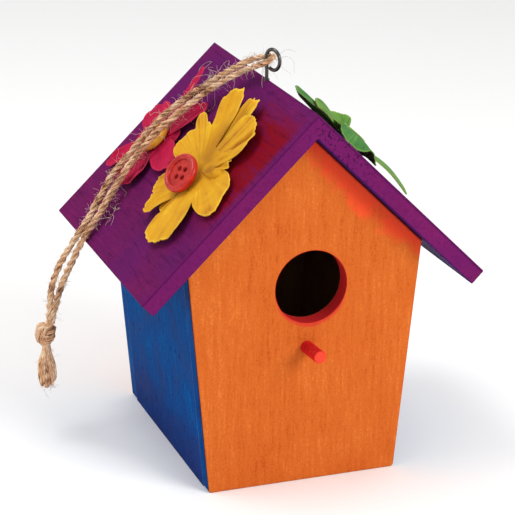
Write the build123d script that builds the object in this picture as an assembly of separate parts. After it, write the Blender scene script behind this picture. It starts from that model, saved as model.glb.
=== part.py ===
from build123d import *
import math
import os

# A painted craft birdhouse.  Thin boards are glued and pinned into a box whose side walls lean
# outwards, under a gable roof that is mitred at the ridge.  A screw eye in the ridge holds a
# folded length of jute twine, and cloth flowers with buttons are glued to the roof.
# Millimetres.  X runs to the right as seen from the front, Y to the back and Z up.  The origin
# is the middle of the box's footprint, on the surface that the house stands on.

LEFT, RIGHT = -1, 1
STANDING = (Align.CENTER, Align.CENTER, Align.MIN)
HANGING = (Align.CENTER, Align.CENTER, Align.MAX)

# Box
BOARD = 6.0
BOX_DEPTH = 89.0
FOOT_WIDTH = 67.2
EAVES_WIDTH = 82.7
EAVES_HEIGHT = 82.1
EDGE_WEAR = 0.5
CORNER_WEAR = 1.2
FLOOR_GAP = 0.3

# Roof
ROOF_PITCH = 44.3
LEFT_SLOPE = 82.6
RIGHT_SLOPE = 85.4
FRONT_OVERHANG = 7.6
BACK_OVERHANG = 5.6

# Entrance and perch
ENTRANCE = 25.4
ENTRANCE_X = 1.8
ENTRANCE_Z = 69.8
PERCH = 4.4
PERCH_X = 0.6
PERCH_Z = 48.7
PERCH_REACH = 12.5
PERCH_TAIL = 8.0
PERCH_RISE = 4.0
PERCH_ROUNDING = 0.7
PERCH_CHAMFER = 0.44

# Screw eye, in the ridge
EYE_WIRE = 1.25
EYE_RADIUS = 3.5
EYE_Y = -4.7
EYE_TURN = -70.0
EYE_OFFSET = 3.15
EYE_HEIGHT = 7.1
EYE_BEND_START = 4.5
EYE_JOIN_ANGLE = 195.0
EYE_END_ANGLE = 241.0
EYE_SCREW = 2.0
EYE_DEPTH = 7.8
EYE_POINT = 2.0
EYE_TIP_RADIUS = 0.2

# Pins
PIN = 0.8
PIN_LENGTH = 15.0
PIN_DEPTH = 0.1
WALL_PIN_HEIGHTS = (16.0, 44.0, 72.0)
FLOOR_PIN_PLACES = (-16.0, 16.0)
ROOF_PIN_PLACES = (12.0, 34.0, 56.0)

# Flowers and buttons, stacked on the roof boards
CLOTH = 0.6
GLUE = 0.6
GLUE_WIDTH = 12.0
UPPER_REACH = 0.8
HUB_SHARE = 0.34
PETAL_SHARE = 0.36
BUTTON_GLUE = 0.3
BUTTON_GLUE_WIDTH = 6.0
BUTTON_HOLE = 1.7
BUTTON_HOLE_PITCH = 2.9
BUTTON_MOUTH = 1.15
BUTTON_MOUTH_DEPTH = 0.3
BUTTON_DISH = 0.62

# Twine
TWINE = 2.5
KNOT_SIZE = (7.5, 5.5, 9.0)
KNOT_TOP = (-72.3, 19.4, 43.0)
KNOT_ROUNDING = 1.0
TAIL_LENGTH = 16.5
TAIL_TOP_RADIUS = 1.2
TAIL_FOOT_RADIUS = 1.4
TAIL_SPACING = 3.0
ARC_SHARE = 0.45

# Each flower: its slope, its place along Y and down the slope, and its petals
FLOWERS = {
    "yellow": dict(side=LEFT, y=-17.5, down=38.0, petals=6, reach=29.0, petal_width=16.0, turn=0.0),
    "pink": dict(side=LEFT, y=27.0, down=39.7, petals=6, reach=20.0, petal_width=10.0, turn=0.0),
    "green": dict(side=RIGHT, y=-20.0, down=31.0, petals=6, reach=30.5, petal_width=17.0, turn=0.0),
}

# Each button: its flower's slope, its place, its size, how it is turned, and how far its face
# leans towards the front and dips down the slope, in degrees
BUTTONS = {
    "red_button": dict(
        side=LEFT, y=-17.6, down=42.8, width=13.8, thickness=2.7, turn=20.0, lean=15.0, dip=10.0
    ),
    "yellow_button": dict(
        side=LEFT, y=24.5, down=39.7, width=12.4, thickness=2.4, turn=35.0, lean=0.0, dip=0.0
    ),
    "blue_button": dict(
        side=RIGHT, y=-20.0, down=31.0, width=12.8, thickness=2.5, turn=10.0, lean=0.0, dip=0.0
    ),
}

# The twine's route.  It is one length, folded through the eye: up from the knot, over the eave
# and the pink flower, around the back of the ring, and down again beside itself.
TWINE_ROUTE = [
    (-73.7, 19.4, 43.0),
    (-73.7, 19.4, 52.2),
    (-70.8, 17.8, 63.0),
    (-65.6, 18.2, 73.6),
    (-57.6, 20.0, 83.8),
    (-48.8, 23.4, 94.8),
    (-39.0, 24.6, 106.0),
    (-28.2, 22.0, 115.6),
    (-17.4, 13.8, 124.2),
    (-8.0, 5.6, 132.2),
    (-1.2, 1.2, 136.7),
    (2.7, -4.9, 138.5),
    (-0.6, -7.3, 136.5),
    (-5.0, -1.6, 133.8),
    (-11.4, 4.2, 128.6),
    (-20.5, 11.8, 120.9),
    (-31.8, 16.4, 112.0),
    (-42.4, 17.4, 101.6),
    (-51.4, 15.8, 90.6),
    (-60.6, 12.6, 81.2),
    (-66.0, 14.2, 69.5),
    (-69.4, 17.0, 57.5),
    (-70.9, 19.4, 49.8),
    (-70.9, 19.4, 43.0),
]

# Worked out from the sizes above
FRONT = -BOX_DEPTH / 2
BACK = BOX_DEPTH / 2
PITCH = math.radians(ROOF_PITCH)
APEX = EAVES_HEIGHT + EAVES_WIDTH / 2 * math.tan(PITCH)
RIDGE = APEX + BOARD / math.cos(PITCH)
LEAN = math.atan((EAVES_WIDTH - FOOT_WIDTH) / 2 / EAVES_HEIGHT)
LOWER_CLOTH = GLUE
UPPER_CLOTH = LOWER_CLOTH + CLOTH
BUTTON_BED = UPPER_CLOTH + CLOTH
BUTTON_FOOT = BUTTON_BED + BUTTON_GLUE


def roof_plane(side, y, down, height):
    """The plane on a roof slope, its x down the slope and its z out of the board."""
    origin = (
        side * (down * math.cos(PITCH) + height * math.sin(PITCH)),
        y,
        RIDGE - down * math.sin(PITCH) + height * math.cos(PITCH),
    )
    slope = (side * math.cos(PITCH), 0, -math.sin(PITCH))
    out = (side * math.sin(PITCH), 0, math.cos(PITCH))
    return Plane(origin=origin, x_dir=slope, z_dir=out)


def wall_x(z):
    """Half the box's width, outside, at a height."""
    return FOOT_WIDTH / 2 + z * math.tan(LEAN)


def gable_outline():
    """The five-sided face of the front and back boards."""
    return [
        (-FOOT_WIDTH / 2, 0),
        (FOOT_WIDTH / 2, 0),
        (EAVES_WIDTH / 2, EAVES_HEIGHT),
        (0, APEX),
        (-EAVES_WIDTH / 2, EAVES_HEIGHT),
    ]


def gable_board(outer_y, inward):
    """A front or back board, with its outer face at outer_y and its show edges worn round."""
    face = Plane(origin=(0, outer_y, 0), x_dir=(1, 0, 0), z_dir=(0, -1, 0))
    outline = face * make_face(Polyline(*gable_outline(), close=True))
    board = extrude(outline, BOARD, dir=(0, inward, 0))
    foot_corners = board.edges().filter_by(Axis.Y).group_by(Axis.Z)[0]
    board = fillet(foot_corners, CORNER_WEAR)
    rim = board.faces().sort_by(Axis.Y)[0 if inward > 0 else -1].edges()
    return fillet(rim, EDGE_WEAR)


def perch_pose():
    """Where the dowel enters the front board, its z along the dowel and outwards."""
    rise = math.radians(PERCH_RISE)
    return Plane(
        origin=(PERCH_X, FRONT, PERCH_Z),
        x_dir=(1, 0, 0),
        z_dir=(0, -math.cos(rise), math.sin(rise)),
    )


def perch_dowel():
    """The dowel, glued through the front board, with its free end rounded."""
    dowel = Cylinder(PERCH / 2, PERCH_REACH + PERCH_TAIL, align=STANDING)
    dowel = Pos(0, 0, -PERCH_TAIL) * dowel
    dowel = fillet(dowel.edges().sort_by(Axis.Z)[-1], PERCH_ROUNDING)
    dowel = chamfer(dowel.edges().sort_by(Axis.Z)[0], PERCH_CHAMFER)
    return perch_pose() * dowel


def front_board():
    """The front, with the entrance and the perch's hole."""
    board = gable_board(FRONT, 1)
    through = Rot(90, 0, 0) * Cylinder(ENTRANCE / 2, 3 * BOARD)
    entrance = Pos(ENTRANCE_X, FRONT + BOARD / 2, ENTRANCE_Z) * through
    perch_hole = perch_pose() * Cylinder(PERCH / 2, 4 * BOARD)
    return board - entrance - perch_hole


def side_board(side):
    """A leaning side wall between the gable boards, its top bevelled to meet the roof."""
    inner_foot = wall_x(0) - BOARD / math.cos(LEAN)
    inner_eave = (EAVES_WIDTH / 2) - BOARD / math.cos(LEAN)
    slope = math.tan(PITCH)
    inner_top_x = (inner_foot + (APEX * math.tan(LEAN))) / (1 + slope * math.tan(LEAN))
    outline = [
        (side * wall_x(0), 0),
        (side * EAVES_WIDTH / 2, EAVES_HEIGHT),
        (side * inner_top_x, APEX - inner_top_x * slope),
        (side * inner_foot, 0),
    ]
    plane = Plane(origin=(0, FRONT + BOARD, 0), x_dir=(1, 0, 0), z_dir=(0, -1, 0))
    face = plane * make_face(Polyline(*outline, close=True))
    return extrude(face, BOX_DEPTH - 2 * BOARD, dir=(0, 1, 0))


def floor_board():
    """The floor, let in flush between the four walls."""
    foot = wall_x(0) - BOARD / math.cos(LEAN) - FLOOR_GAP
    top = foot + BOARD * math.tan(LEAN)
    outline = [(-foot, 0), (foot, 0), (top, BOARD), (-top, BOARD)]
    plane = Plane(origin=(0, FRONT + BOARD, 0), x_dir=(1, 0, 0), z_dir=(0, -1, 0))
    face = plane * make_face(Polyline(*outline, close=True))
    return extrude(face, BOX_DEPTH - 2 * BOARD, dir=(0, 1, 0))


def roof_board(side, slope_length):
    """A roof board, mitred at the ridge and cut square at the eave."""
    outline = [
        (0, RIDGE),
        (side * slope_length * math.cos(PITCH), RIDGE - slope_length * math.sin(PITCH)),
        (
            side * (slope_length * math.cos(PITCH) - BOARD * math.sin(PITCH)),
            RIDGE - slope_length * math.sin(PITCH) - BOARD * math.cos(PITCH),
        ),
        (0, APEX),
    ]
    front = FRONT - FRONT_OVERHANG
    plane = Plane(origin=(0, front, 0), x_dir=(1, 0, 0), z_dir=(0, -1, 0))
    face = plane * make_face(Polyline(*outline, close=True))
    board = extrude(face, BOX_DEPTH + FRONT_OVERHANG + BACK_OVERHANG, dir=(0, 1, 0))
    worn = [edge for edge in board.edges() if abs(edge.center().X) > BOARD / 2]
    board = fillet(worn, EDGE_WEAR)
    return board - eye_hole()


def eye_hole():
    return Pos(0, EYE_Y, RIDGE) * Cylinder(EYE_SCREW / 2, 2 * EYE_DEPTH)


def ring_point(angle):
    """A point on the eye's ring, in its own plane: across from the shank, and above the ridge."""
    turn = math.radians(angle)
    return (EYE_OFFSET + EYE_RADIUS * math.cos(turn), EYE_HEIGHT + EYE_RADIUS * math.sin(turn))


def screw_eye():
    """One wire: a pointed screw, a short neck, and a ring that closes beside the neck."""
    turn = math.radians(EYE_TURN)
    plane = Plane(
        origin=(0, EYE_Y, RIDGE),
        x_dir=(math.cos(turn), math.sin(turn), 0),
        z_dir=(math.sin(turn), -math.cos(turn), 0),
    )
    join = ring_point(EYE_JOIN_ANGLE)
    end = ring_point(EYE_END_ANGLE)
    neck = Line((0, 0), (0, EYE_BEND_START))
    bend = TangentArc((0, EYE_BEND_START), join, tangent=(0, 1))
    over = ThreePointArc(join, ring_point(90), ring_point(0))
    under = ThreePointArc(ring_point(0), ring_point(-45), end)
    path = plane * (neck + bend + over + under)
    section = Plane(origin=path @ 0, z_dir=path % 0) * Circle(EYE_WIRE / 2)
    wire = sweep(section, path)
    screw = Cylinder(EYE_SCREW / 2, EYE_DEPTH - EYE_POINT, align=HANGING)
    point = Cone(EYE_TIP_RADIUS, EYE_SCREW / 2, EYE_POINT, align=HANGING)
    screw += Pos(0, 0, -(EYE_DEPTH - EYE_POINT)) * point
    return wire + Pos(0, EYE_Y, RIDGE) * screw


def pin():
    """A headless pin nail, with its driven end at the origin and its point towards -Z."""
    return Cylinder(PIN / 2, PIN_LENGTH, align=HANGING)


def wall_pins():
    """Pins through the front and back boards into the side walls' ends."""
    pins = []
    for outer, direction in ((FRONT, 1), (BACK, -1)):
        for side in (LEFT, RIGHT):
            for z in WALL_PIN_HEIGHTS:
                x = side * (wall_x(z) - BOARD / 2)
                spot = Plane(origin=(x, outer + direction * PIN_DEPTH, z), z_dir=(0, -direction, 0))
                pins.append(spot * pin())
    return pins


def floor_pins():
    """Pins through the front and back boards into the floor's ends."""
    pins = []
    for outer, direction in ((FRONT, 1), (BACK, -1)):
        for x in FLOOR_PIN_PLACES:
            spot = Plane(origin=(x, outer + direction * PIN_DEPTH, BOARD / 2), z_dir=(0, -direction, 0))
            pins.append(spot * pin())
    return pins


def roof_pins():
    """Pins down through the roof boards into the sloping edges of the gable boards."""
    pins = []
    for side in (LEFT, RIGHT):
        for y in (FRONT + BOARD / 2, BACK - BOARD / 2):
            for down in ROOF_PIN_PLACES:
                pins.append(roof_plane(side, y, down, -PIN_DEPTH) * pin())
    return pins


def cloth_flower(side, y, down, height, petals, reach, petal_width, turn):
    """One cloth layer, laid flat: round-ended petals about a small middle."""
    outline = Circle(reach * HUB_SHARE)
    petal = Pos(reach * (1 - PETAL_SHARE), 0) * Ellipse(reach * PETAL_SHARE, petal_width / 2)
    for number in range(petals):
        outline += Rot(0, 0, turn + number * 360 / petals) * petal
    layer = extrude(outline, CLOTH)
    return roof_plane(side, y, down, height) * layer


def flower_glue(side, y, down):
    """The flat spot of glue between the roof and a flower."""
    return roof_plane(side, y, down, 0) * Cylinder(GLUE_WIDTH / 2, GLUE, align=STANDING)


def button_seat(side, y, down, width, lean, dip):
    """The place of a button's back, whose lowest edge stands just clear of the cloth."""
    tilt = math.acos(math.cos(math.radians(lean)) * math.cos(math.radians(dip)))
    lift = width / 2 * math.sin(tilt)
    return roof_plane(side, y, down, BUTTON_FOOT + lift) * Rot(side * lean, dip, 0)


def button_glue(side, y, down, width, lean, dip):
    """The blob of glue under a button, its top pressed to the button's back."""
    blob = Cylinder(BUTTON_GLUE_WIDTH / 2, BUTTON_GLUE_WIDTH, align=STANDING)
    blob = roof_plane(side, y, down, BUTTON_BED) * blob
    cut = Plane(button_seat(side, y, down, width, lean, dip))
    return split(blob, bisect_by=cut, keep=Keep.BOTTOM)


def button_section(width, thickness):
    """Half of a button's section: a flat back, a round edge and rim, and a sunk face."""
    dish = thickness * BUTTON_DISH
    heel = (width * 0.44, 0)
    lower_round = (width * 0.484, thickness * 0.19)
    edge = (width * 0.5, thickness * 0.5)
    upper_round = (width * 0.478, thickness * 0.86)
    rim_top = (width * 0.415, thickness)
    inner_round = (width * 0.372, thickness * 0.9)
    rim_foot = (width * 0.345, dish)
    outline = Line((0, 0), heel)
    outline += ThreePointArc(heel, lower_round, edge)
    outline += ThreePointArc(edge, upper_round, rim_top)
    outline += ThreePointArc(rim_top, inner_round, rim_foot)
    outline += Line(rim_foot, (0, dish))
    outline += Line((0, dish), (0, 0))
    return Plane.XZ * make_face(outline)


def button(side, y, down, width, thickness, turn, lean, dip):
    """A four-hole button on its seat."""
    disc = revolve(button_section(width, thickness), Axis.Z)
    hole = Cylinder(BUTTON_HOLE / 2, 3 * thickness)
    mouth = Cone(BUTTON_HOLE / 2, BUTTON_MOUTH, BUTTON_MOUTH_DEPTH, align=HANGING)
    mouth = Pos(0, 0, thickness * BUTTON_DISH) * mouth
    for step in range(4):
        spot = Rot(0, 0, turn + 45 + 90 * step) * Pos(BUTTON_HOLE_PITCH / math.sqrt(2), 0)
        disc -= spot * hole
        disc -= spot * mouth
    return button_seat(side, y, down, width, lean, dip) * disc


def corner_radius(before, corner, after):
    """The largest tangent arc at a corner that leaves both runs a straight middle."""
    start = Vector(*corner) - Vector(*before)
    finish = Vector(*after) - Vector(*corner)
    turn = math.radians(start.get_angle(finish))
    return ARC_SHARE * min(start.length, finish.length) / math.tan(turn / 2)


def twine():
    corners = zip(TWINE_ROUTE, TWINE_ROUTE[1:], TWINE_ROUTE[2:])
    radii = [corner_radius(*three) for three in corners]
    print("twine radii:", [round(radius, 1) for radius in radii])
    path = FilletPolyline(*TWINE_ROUTE, radius=radii)
    section = Plane(origin=path @ 0, z_dir=path % 0) * Circle(TWINE / 2)
    tube = sweep(section, path)
    expected = math.pi * TWINE**2 / 4 * path.length
    print(f"twine length {path.length:.1f} mm, volume {tube.volume:.1f}, section x length {expected:.1f}")
    return tube


def twine_knot():
    """The overhand knot that ties both strands, as a rounded block."""
    knot = Box(*KNOT_SIZE, align=(Align.CENTER, Align.CENTER, Align.MAX))
    return Pos(*KNOT_TOP) * fillet(knot.edges(), KNOT_ROUNDING)


def twine_tails():
    """The two frayed ends below the knot."""
    tails = []
    foot = Vector(*KNOT_TOP) - Vector(0, 0, KNOT_SIZE[2])
    for side in (LEFT, RIGHT):
        tail = Cone(TAIL_FOOT_RADIUS, TAIL_TOP_RADIUS, TAIL_LENGTH, align=HANGING)
        tails.append(Pos(foot.X + side * TAIL_SPACING / 2, foot.Y, foot.Z) * tail)
    return tails


def group(solids):
    return Compound(children=solids)


wall_pin_set = wall_pins()
floor_pin_set = floor_pins()
roof_pin_set = roof_pins()


def pinned(board, pins):
    """A board with the holes that the pins made in it."""
    for one in pins:
        board -= one
    return board


nodes = {
    "front_panel": pinned(front_board(), wall_pin_set + floor_pin_set + roof_pin_set),
    "back_panel": pinned(gable_board(BACK, -1), wall_pin_set + floor_pin_set + roof_pin_set),
    "left_side": pinned(side_board(LEFT), wall_pin_set),
    "right_side": pinned(side_board(RIGHT), wall_pin_set),
    "floor_panel": pinned(floor_board(), floor_pin_set),
    "left_roof": pinned(roof_board(LEFT, LEFT_SLOPE), roof_pin_set),
    "right_roof": pinned(roof_board(RIGHT, RIGHT_SLOPE), roof_pin_set),
    "perch": perch_dowel(),
    "screw_eye": screw_eye(),
    "wall_pins": group(wall_pin_set),
    "floor_pins": group(floor_pin_set),
    "roof_pins": group(roof_pin_set),
    "hanging_twine": twine(),
    "twine_knot": twine_knot(),
    "twine_tails": group(twine_tails()),
}
for colour, flower in FLOWERS.items():
    nodes[f"{colour}_flower_lower"] = cloth_flower(height=LOWER_CLOTH, **flower)
    upper = dict(flower, reach=flower["reach"] * UPPER_REACH, turn=flower["turn"] + 180 / flower["petals"])
    nodes[f"{colour}_flower_upper"] = cloth_flower(height=UPPER_CLOTH, **upper)
for name, made in BUTTONS.items():
    nodes[name] = button(**made)
nodes["flower_glue"] = group([flower_glue(f["side"], f["y"], f["down"]) for f in FLOWERS.values()])
SEAT = ("side", "y", "down", "width", "lean", "dip")
seats = [{key: made[key] for key in SEAT} for made in BUTTONS.values()]
nodes["button_glue"] = group([button_glue(**seat) for seat in seats])

os.makedirs("parts", exist_ok=True)
for name, solid in nodes.items():
    export_step(solid, f"parts/{name}.step")
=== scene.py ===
import math
import random

import bpy
import numpy as np
from mathutils import Matrix, Vector


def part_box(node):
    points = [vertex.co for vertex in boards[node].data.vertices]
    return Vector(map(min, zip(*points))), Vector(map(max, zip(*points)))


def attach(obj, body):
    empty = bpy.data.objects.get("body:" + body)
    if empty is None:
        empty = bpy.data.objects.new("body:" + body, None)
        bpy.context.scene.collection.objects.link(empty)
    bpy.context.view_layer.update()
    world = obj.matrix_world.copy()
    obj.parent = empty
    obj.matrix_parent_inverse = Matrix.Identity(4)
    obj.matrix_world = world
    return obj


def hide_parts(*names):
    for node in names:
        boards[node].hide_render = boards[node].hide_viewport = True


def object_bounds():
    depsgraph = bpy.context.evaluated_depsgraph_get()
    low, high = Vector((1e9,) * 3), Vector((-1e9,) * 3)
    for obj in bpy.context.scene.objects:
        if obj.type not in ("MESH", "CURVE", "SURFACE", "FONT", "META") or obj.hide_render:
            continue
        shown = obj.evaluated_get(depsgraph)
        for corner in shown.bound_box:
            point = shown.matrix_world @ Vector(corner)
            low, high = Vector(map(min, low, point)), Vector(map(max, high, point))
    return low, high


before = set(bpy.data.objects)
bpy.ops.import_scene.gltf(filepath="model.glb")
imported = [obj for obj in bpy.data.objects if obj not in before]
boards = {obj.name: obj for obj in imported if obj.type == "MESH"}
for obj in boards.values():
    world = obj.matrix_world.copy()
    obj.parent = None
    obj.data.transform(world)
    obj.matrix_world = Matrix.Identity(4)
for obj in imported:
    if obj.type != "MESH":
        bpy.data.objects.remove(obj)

# A painted craft birdhouse in metres: X to the right as seen from the front, Y to the back and
# Z up, with the floor at zero.  The boards, perch, eye, pins, glue and buttons are the frame's
# own solids and are given their paint here; the cloth flowers and the twine are made here.
MM = 0.001
cad_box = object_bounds()
bpy.ops.object.select_all(action="DESELECT")


# ---- Studio: a seamless pale floor under a white sky, with a soft lamp high at the front right
# and a weaker one over the roof.  The left wall and the left slope are in the key lamp's shade.
CAMERA_PLACE = (-0.2352, -0.6366, 0.3053)
CAMERA_TURN = (-20.211, 70.526, 0.637)
CAMERA_LENS = 144.05
LAMP_DISTANCE = 0.9
KEY_DIRECTION = Vector((0.45, -0.76, 0.47))
KEY_SIZE, KEY_POWER = 0.42, 5.2
ROOF_DIRECTION = Vector((-0.5, 0.15, 1.0))
ROOF_SIZE, ROOF_POWER = 0.5, 3.5
SKY_STRENGTH = 0.70
FLOOR_SIZE = 8.0
FLOOR_WHITE = 0.96

camera_data = bpy.data.cameras.new("studio_camera")
camera_data.lens = CAMERA_LENS
camera_data.clip_start = 0.01
camera = bpy.data.objects.new("studio_camera", camera_data)
bpy.context.collection.objects.link(camera)
swing, tilt, roll = (math.radians(angle) for angle in CAMERA_TURN)
camera.matrix_world = (
    Matrix.Translation(CAMERA_PLACE)
    @ Matrix.Rotation(swing, 4, "Z")
    @ Matrix.Rotation(tilt, 4, "X")
    @ Matrix.Rotation(roll, 4, "Z")
)
bpy.context.scene.camera = camera
bpy.context.scene.view_settings.view_transform = "Standard"


def soft_lamp(name, direction, size, power, colour):
    """A square area lamp that faces the middle of the house."""
    data = bpy.data.lights.new(name, "AREA")
    data.shape = "SQUARE"
    data.size = size
    data.energy = power
    data.color = colour
    lamp = bpy.data.objects.new(name, data)
    bpy.context.collection.objects.link(lamp)
    middle = (cad_box[0] + cad_box[1]) / 2
    lamp.location = middle + direction.normalized() * LAMP_DISTANCE
    lamp.rotation_euler = direction.to_track_quat("Z", "Y").to_euler()


soft_lamp("key_lamp", KEY_DIRECTION, KEY_SIZE, KEY_POWER, (1.0, 0.98, 0.95))
soft_lamp("roof_lamp", ROOF_DIRECTION, ROOF_SIZE, ROOF_POWER, (1.0, 1.0, 1.0))

sky = bpy.data.worlds.new("studio_sky")
bpy.context.scene.world = sky
sky.use_nodes = True
background = sky.node_tree.nodes["Background"]
background.inputs["Color"].default_value = (1.0, 1.0, 1.0, 1.0)
background.inputs["Strength"].default_value = SKY_STRENGTH

bpy.ops.mesh.primitive_plane_add(size=FLOOR_SIZE)
studio_floor = bpy.context.active_object
studio_floor.name = "studio_floor"
floor_white = bpy.data.materials.new("floor_white")
floor_white.use_nodes = True
floor_shader = floor_white.node_tree.nodes["Principled BSDF"]
floor_shader.inputs["Base Color"].default_value = (FLOOR_WHITE, FLOOR_WHITE, FLOOR_WHITE, 1.0)
floor_shader.inputs["Roughness"].default_value = 0.9
studio_floor.data.materials.append(floor_white)


# ---- Gable boards: two five-sided plates of thin basswood with the grain upright, brushed with
# orange craft paint.  Their narrow side edges carry the walls' blue, the entrance is crimson and
# red has bled down from under the right slope, where a thin line of painted shade also lies.
BOARD = 6.0 * MM
ENTRANCE_RADIUS = 12.7 * MM
ENTRANCE_X = 1.8 * MM
ENTRANCE_Z = 69.8 * MM
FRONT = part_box("front_panel")[0].y
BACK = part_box("back_panel")[1].y
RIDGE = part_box("left_roof")[1].z
PITCH = math.radians(44.3)
APEX = RIDGE - BOARD / math.cos(PITCH)


def srgb(red, green, blue):
    """A linear colour from display values of 0 to 255."""
    linear = [((c / 255 + 0.055) / 1.055) ** 2.4 if c > 10 else c / 255 / 12.92 for c in (red, green, blue)]
    return (*linear, 1.0)


def shader_node(tree, kind, inputs=(), **settings):
    """One node: a socket given as an input is linked, and a value is set."""
    made = tree.nodes.new("ShaderNode" + kind)
    for setting, value in settings.items():
        setattr(made, setting, value)
    for key, value in dict(inputs).items():
        if isinstance(value, bpy.types.NodeSocket):
            tree.links.new(value, made.inputs[key])
        else:
            made.inputs[key].default_value = value
    return made


def reckon(tree, operation, *values):
    """The result of one Math node."""
    return shader_node(tree, "Math", dict(enumerate(values)), operation=operation).outputs[0]


def times(tree, first, second):
    """Two values multiplied."""
    return reckon(tree, "MULTIPLY", first, second)


def plus(tree, first, second):
    """Two values added."""
    return reckon(tree, "ADD", first, second)


def minus(tree, first, second):
    """The second value taken from the first."""
    return reckon(tree, "SUBTRACT", first, second)


def scaled(tree, value, factor, offset):
    """A value times a factor, plus an offset."""
    return reckon(tree, "MULTIPLY_ADD", value, factor, offset)


def distance(tree, first, second):
    """The length of two values at right angles."""
    return reckon(tree, "SQRT", plus(tree, times(tree, first, first), times(tree, second, second)))


def ramp(tree, value, start, end, low=0.0, high=1.0):
    """A value carried smoothly from low at start to high at end."""
    inputs = {"Value": value, "From Min": start, "From Max": end, "To Min": low, "To Max": high}
    return shader_node(tree, "MapRange", inputs, interpolation_type="SMOOTHSTEP").outputs["Result"]


def tint(tree, amount, under, over, how="MIX"):
    """One colour laid over another by an amount."""
    mixed = shader_node(tree, "Mix", {0: amount, 6: under, 7: over}, data_type="RGBA", blend_type=how)
    return mixed.outputs[2]


def noise(tree, place, scale, detail=4.0, roughness=0.55, distortion=0.0):
    """A cloudy value around a half."""
    inputs = {"Vector": place, "Scale": scale, "Detail": detail, "Roughness": roughness}
    inputs["Distortion"] = distortion
    return shader_node(tree, "TexNoise", inputs).outputs["Fac"]


def stretched(tree, place, grain):
    """The position, scaled by a grain's counts per metre along each axis."""
    return shader_node(tree, "VectorMath", {0: place, 1: grain}, operation="MULTIPLY").outputs[0]


def set_relief(tree, shader, height, distance_out):
    """Fine relief on a surface, through its normal."""
    inputs = {"Height": height, "Distance": distance_out, "Strength": 1.0}
    bump = shader_node(tree, "Bump", inputs)
    tree.links.new(bump.outputs["Normal"], shader.inputs["Normal"])


PORE_SHADE = (0.30, 0.22, 0.24, 1.0)


def grain_group():
    """Thin craft paint over wood: its colour by grain, brush and mottle, with its relief."""
    group = bpy.data.node_groups.new("paint_on_grain", "ShaderNodeTree")
    sockets = group.interface
    for name, kind in (
        ("Position", "NodeSocketVector"),
        ("Grain", "NodeSocketVector"),
        ("Pale", "NodeSocketColor"),
        ("Middle", "NodeSocketColor"),
        ("Deep", "NodeSocketColor"),
        ("Pore", "NodeSocketFloat"),
        ("Mottle Scale", "NodeSocketFloat"),
        ("Mottle Depth", "NodeSocketFloat"),
    ):
        sockets.new_socket(name, in_out="INPUT", socket_type=kind)
    for name, kind in (
        ("Color", "NodeSocketColor"),
        ("Roughness", "NodeSocketFloat"),
        ("Height", "NodeSocketFloat"),
    ):
        sockets.new_socket(name, in_out="OUTPUT", socket_type=kind)
    given = group.nodes.new("NodeGroupInput").outputs
    along = stretched(group, given["Position"], given["Grain"])
    fibres = noise(group, along, 1.0, 5.0, 0.7, 0.15)
    threads = noise(group, along, 3.1, 3.0, 0.6)
    mottle = noise(group, given["Position"], given["Mottle Scale"], 4.0, 0.6)
    speckle = noise(group, given["Position"], 1500.0, 2.0, 0.5)
    pores = ramp(group, threads, 0.60, 0.72)
    value = scaled(group, fibres, 0.9, -0.45)
    cloud = times(group, minus(group, mottle, 0.5), given["Mottle Depth"])
    value = plus(group, value, cloud)
    value = scaled(group, speckle, 0.6, value)
    value = plus(group, value, 0.2)
    lower = tint(group, ramp(group, value, 0.15, 0.5), given["Deep"], given["Middle"])
    upper = tint(group, ramp(group, value, 0.5, 0.85), lower, given["Pale"])
    pore_share = times(group, pores, given["Pore"])
    pored = tint(group, pore_share, upper, PORE_SHADE, "MULTIPLY")
    height = scaled(group, pores, -0.6, fibres)
    height = scaled(group, speckle, 0.35, height)
    out = group.nodes.new("NodeGroupOutput").inputs
    group.links.new(pored, out["Color"])
    group.links.new(ramp(group, mottle, 0.3, 0.7, 0.46, 0.66), out["Roughness"])
    group.links.new(height, out["Height"])
    return group


paint_on_grain = grain_group()


def painted(tree, place, grain, pale, middle, deep, pore=0.5, mottle=55.0, cloud=1.0):
    """The paint group, placed in a material with its own values."""
    inputs = {
        "Position": place,
        "Grain": grain,
        "Pale": pale,
        "Middle": middle,
        "Deep": deep,
        "Pore": pore,
        "Mottle Scale": mottle,
        "Mottle Depth": cloud,
    }
    node = tree.nodes.new("ShaderNodeGroup")
    node.node_tree = paint_on_grain
    for name, value in inputs.items():
        if isinstance(value, bpy.types.NodeSocket):
            tree.links.new(value, node.inputs[name])
        else:
            node.inputs[name].default_value = value
    return node.outputs


def new_material(name):
    """A material, its tree, its Principled shader, and the position split into X, Y and Z."""
    material = bpy.data.materials.new(name)
    material.use_nodes = True
    tree = material.node_tree
    place = tree.nodes.new("ShaderNodeTexCoord").outputs["Object"]
    parts = shader_node(tree, "SeparateXYZ", {0: place}).outputs
    return material, tree, tree.nodes["Principled BSDF"], place, parts


def finish_paint(tree, shader, colour, paint, relief):
    """The colour, and the paint's own roughness and relief, on flat craft paint that barely shines."""
    tree.links.new(colour, shader.inputs["Base Color"])
    tree.links.new(paint["Roughness"], shader.inputs["Roughness"])
    shader.inputs["Specular IOR Level"].default_value = 0.01
    set_relief(tree, shader, paint["Height"], relief)


ORANGE = [srgb(210, 116, 52), srgb(194, 95, 37), srgb(174, 74, 25)]
BLUE = [srgb(2, 98, 168), srgb(0, 70, 140), srgb(2, 40, 98)]
BARE = [srgb(170, 132, 88), srgb(150, 112, 72), srgb(126, 90, 54)]
CRIMSON = srgb(196, 40, 42)
RED_WASH = srgb(244, 70, 46)
# Painted shade: the dark crimson line just under the right slope's overhang
RIGHT_SLOPE_SHADE = srgb(50, 8, 24)
JOINT_VIOLET = srgb(50, 16, 60)
EDGE_DARK = srgb(18, 10, 34)
UPRIGHT = (1000.0, 1000.0, 90.0)


def under_slope(tree, x, z, side):
    """How far a point of a gable lies below the underside of a roof board."""
    return times(tree, minus(tree, APEX, scaled(tree, x, side * math.tan(PITCH), z)), math.cos(PITCH))


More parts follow.
